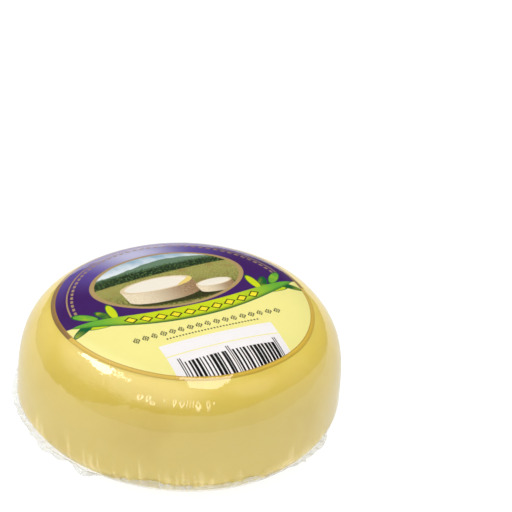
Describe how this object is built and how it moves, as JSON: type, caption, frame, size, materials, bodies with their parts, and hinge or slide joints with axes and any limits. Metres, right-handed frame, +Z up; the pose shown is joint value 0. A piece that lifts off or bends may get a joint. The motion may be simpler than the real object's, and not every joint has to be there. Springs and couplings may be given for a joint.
{
  "type": "whole small kashkaval cheese wheel in clear film",
  "caption": "Small flat round wheel of pale yellow kashkaval lying in tight clear shrink film with a ruffled lower hem and a round printed label on top.",
  "frame": {"origin": "middle of the whole piece on the surface it lies on", "axes": "+Z up through the label, +Y towards the top edge of the label's print, +X to the label's right"},
  "size_m": [0.1132, 0.1134, 0.0432],
  "materials": {
    "cheese": "waxy pale yellow, slightly translucent, smooth under the film",
    "label_paper": "smooth coated paper, printed in pale yellow, violet, gold and green",
    "clear_film": "clear glossy shrink film, fine crinkles near the hem"
  },
  "bodies": {
    "root": {"cheese": "cheese", "label": "label_paper", "film": "clear_film"}
  },
  "joints": []
}
